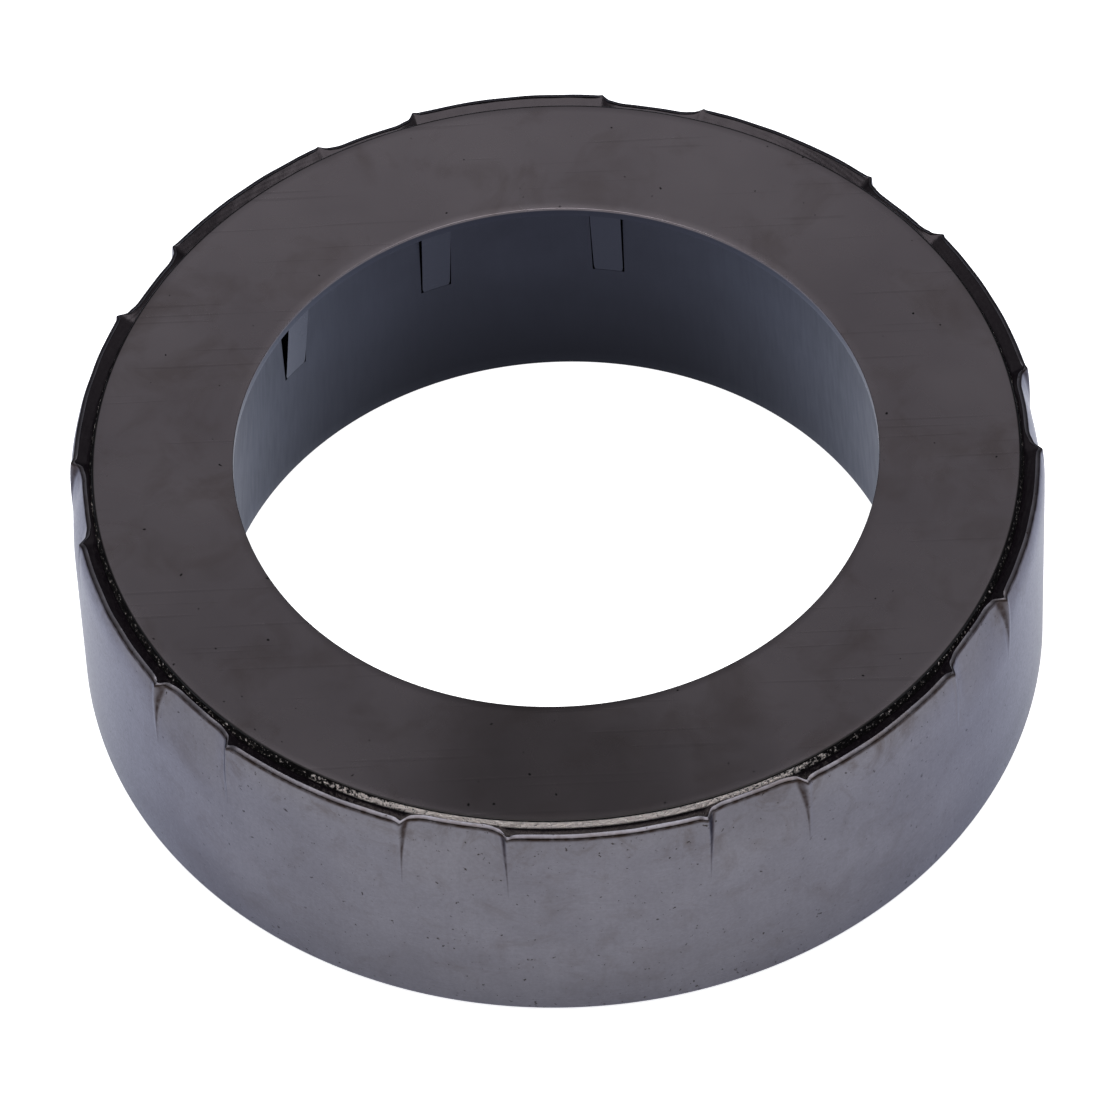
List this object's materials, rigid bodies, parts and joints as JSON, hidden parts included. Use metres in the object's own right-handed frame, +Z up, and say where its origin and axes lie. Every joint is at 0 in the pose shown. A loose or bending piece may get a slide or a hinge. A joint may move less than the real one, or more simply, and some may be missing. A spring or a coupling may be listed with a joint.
{
  "type": "magnetic ring for a food-waste disposer throat",
  "caption": "Flat annular steel canister with an open round bore and a crimped cover plate over potted magnets, which catches cutlery at a disposer's mouth.",
  "frame": {"origin": "centre of the bottom face, on the bore's axis", "axes": "+Z up along the bore towards the cover plate; +X and +Y across the ring, with a crimp at 4 degrees from +X and every 36 degrees after it"},
  "size_m": [0.09, 0.09, 0.0255],
  "materials": {
    "can_steel": "satin",
    "cover_steel": "satin",
    "sleeve_steel": "satin",
    "resin": "gloss",
    "cage_plastic": "matte",
    "ferrite": "matte"
  },
  "bodies": {
    "root": {"outer_can": "can_steel", "cover_plate": "cover_steel", "inner_sleeve": "sleeve_steel", "potting_resin": "resin", "magnet_cage": "cage_plastic", "magnet_01": "ferrite", "magnet_02": "ferrite", "magnet_03": "ferrite", "magnet_04": "ferrite", "magnet_05": "ferrite", "magnet_06": "ferrite", "magnet_07": "ferrite", "magnet_08": "ferrite", "magnet_09": "ferrite", "magnet_10": "ferrite", "magnet_11": "ferrite", "magnet_12": "ferrite"}
  },
  "joints": []
}
